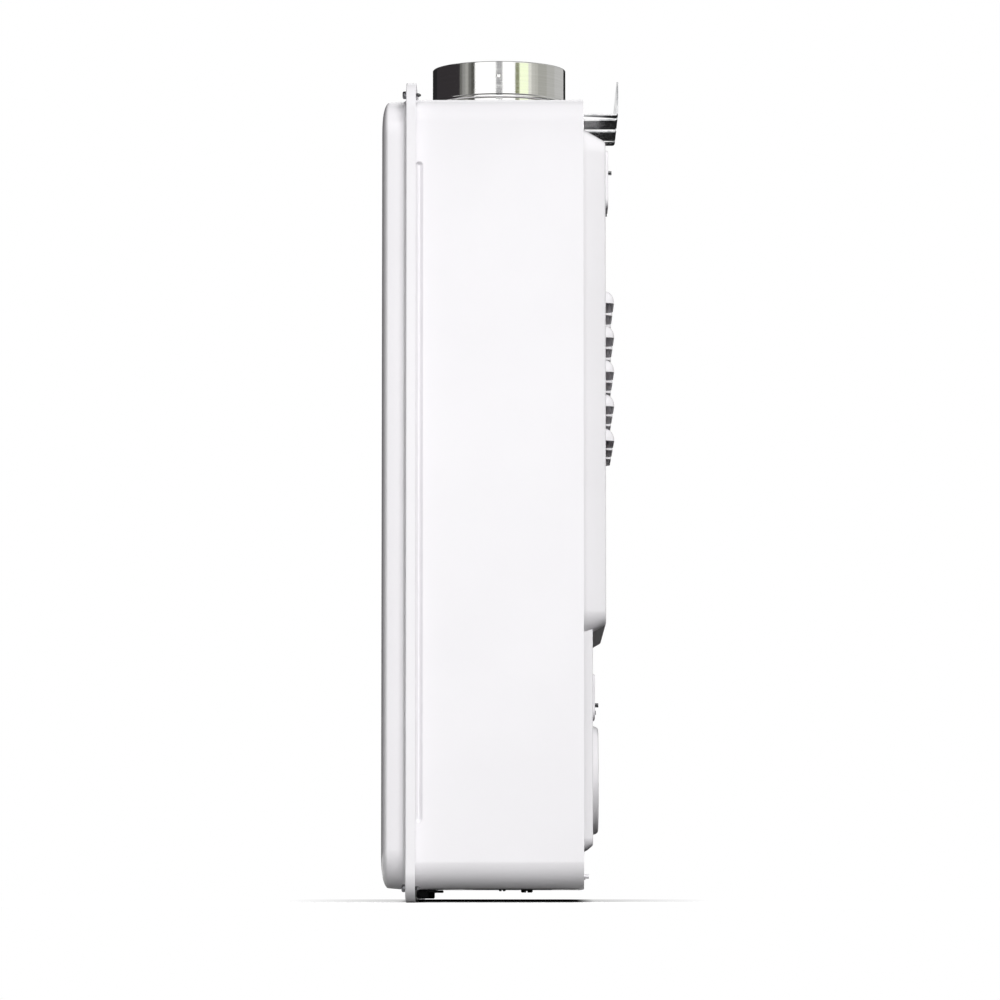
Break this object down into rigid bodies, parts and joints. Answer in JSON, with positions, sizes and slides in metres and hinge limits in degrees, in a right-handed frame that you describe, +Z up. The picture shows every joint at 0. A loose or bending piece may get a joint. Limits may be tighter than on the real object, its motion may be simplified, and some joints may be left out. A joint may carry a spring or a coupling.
{
  "type": "tankless water heater",
  "caption": "Wall-hung gas water heater: white casing with a dished front cover, round flue collar on top, louvred back and pipe fittings recessed below.",
  "frame": {"origin": "middle of the wall bracket's upright plate, on its back face, where it meets the wall", "axes": "+X to the viewer's right when facing the front, +Y from the front towards the wall, +Z up"},
  "size_m": [0.472, 0.2195, 0.7939],
  "materials": {
    "white_paint": "smooth white stove enamel on sheet steel, semi-gloss",
    "polished_steel": "polished stainless steel",
    "zinc_steel": "zinc-plated sheet steel",
    "copper": "drawn copper, slightly dull",
    "brass": "machined brass",
    "aluminium": "cast aluminium",
    "rubber": "black rubber",
    "black_plastic": "black moulded plastic",
    "grey_plastic": "grey moulded plastic",
    "circuit_board": "green circuit board",
    "ceramic": "glazed ceramic"
  },
  "bodies": {
    "heater": {"casing_shell": "white_paint", "rear_panel": "white_paint", "front_cover": "white_paint", "cover_gasket": "rubber", "cover_screw_1": "zinc_steel", "cover_screw_2": "zinc_steel", "cover_screw_3": "zinc_steel", "cover_screw_4": "zinc_steel", "cover_rest_left": "rubber", "cover_rest_right": "rubber", "wall_bracket": "zinc_steel", "bracket_screw_left": "zinc_steel", "bracket_screw_right": "zinc_steel", "flue_collar": "polished_steel", "collar_rivet": "polished_steel", "collar_gasket": "rubber", "flue_seal": "rubber", "flue_hood": "zinc_steel", "heat_exchanger_jacket": "copper", "heat_exchanger_core": "copper", "chamber_rail": "zinc_steel", "burner_box": "zinc_steel", "burner_rack": "polished_steel", "spark_electrode": "ceramic", "ignition_lead": "rubber", "ignition_unit": "black_plastic", "overheat_switch": "black_plastic", "fan_housing": "zinc_steel", "fan_motor": "black_plastic", "fan_bracket": "zinc_steel", "gas_manifold": "aluminium", "gas_pipe": "aluminium", "gas_valve": "aluminium", "solenoid_coil_1": "black_plastic", "solenoid_coil_2": "black_plastic", "gas_inlet_fitting": "brass", "connection_plate": "zinc_steel", "cold_inlet_fitting": "brass", "hot_outlet_fitting": "brass", "filter_plug": "black_plastic", "drain_plug": "black_plastic", "cable_gland": "black_plastic", "inlet_body": "brass", "outlet_body": "brass", "inlet_filter": "zinc_steel", "flow_sensor_body": "grey_plastic", "water_valve_body": "brass", "valve_motor": "black_plastic", "cold_pipe": "copper", "hot_pipe": "copper", "bypass_pipe": "copper", "control_case": "grey_plastic", "circuit_board": "circuit_board", "transformer": "zinc_steel"},
    "fan_rotor": {"fan_impeller": "aluminium", "motor_shaft": "polished_steel"},
    "flow_turbine": {"flow_rotor": "black_plastic"},
    "water_valve": {"valve_spindle": "grey_plastic"},
    "gas_safety_valve": {"safety_plunger": "zinc_steel"},
    "gas_modulating_valve": {"modulating_plunger": "zinc_steel"}
  },
  "joints": [
    {"name": "fan_spin", "type": "hinge", "parent": "heater", "child": "fan_rotor", "pos_m": [-0.045, -0.1, -0.51705], "axis": [0, 1, 0], "continuous": true},
    {"name": "turbine_spin", "type": "hinge", "parent": "heater", "child": "flow_turbine", "pos_m": [0.15, -0.1, -0.61795], "axis": [0, 0, 1], "continuous": true},
    {"name": "water_valve_turn", "type": "hinge", "parent": "heater", "child": "water_valve", "pos_m": [0.15, -0.1, -0.57415], "axis": [0, 1, 0], "range_deg": [0, 90]},
    {"name": "safety_plunger_slide", "type": "slide", "parent": "heater", "child": "gas_safety_valve", "axis": [0, -1, 0], "range_m": [0, 0.0025], "stiffness_N_per_m": 300, "springref_m": -0.003},
    {"name": "modulating_plunger_slide", "type": "slide", "parent": "heater", "child": "gas_modulating_valve", "axis": [0, -1, 0], "range_m": [0, 0.0025], "stiffness_N_per_m": 300, "springref_m": -0.003}
  ]
}
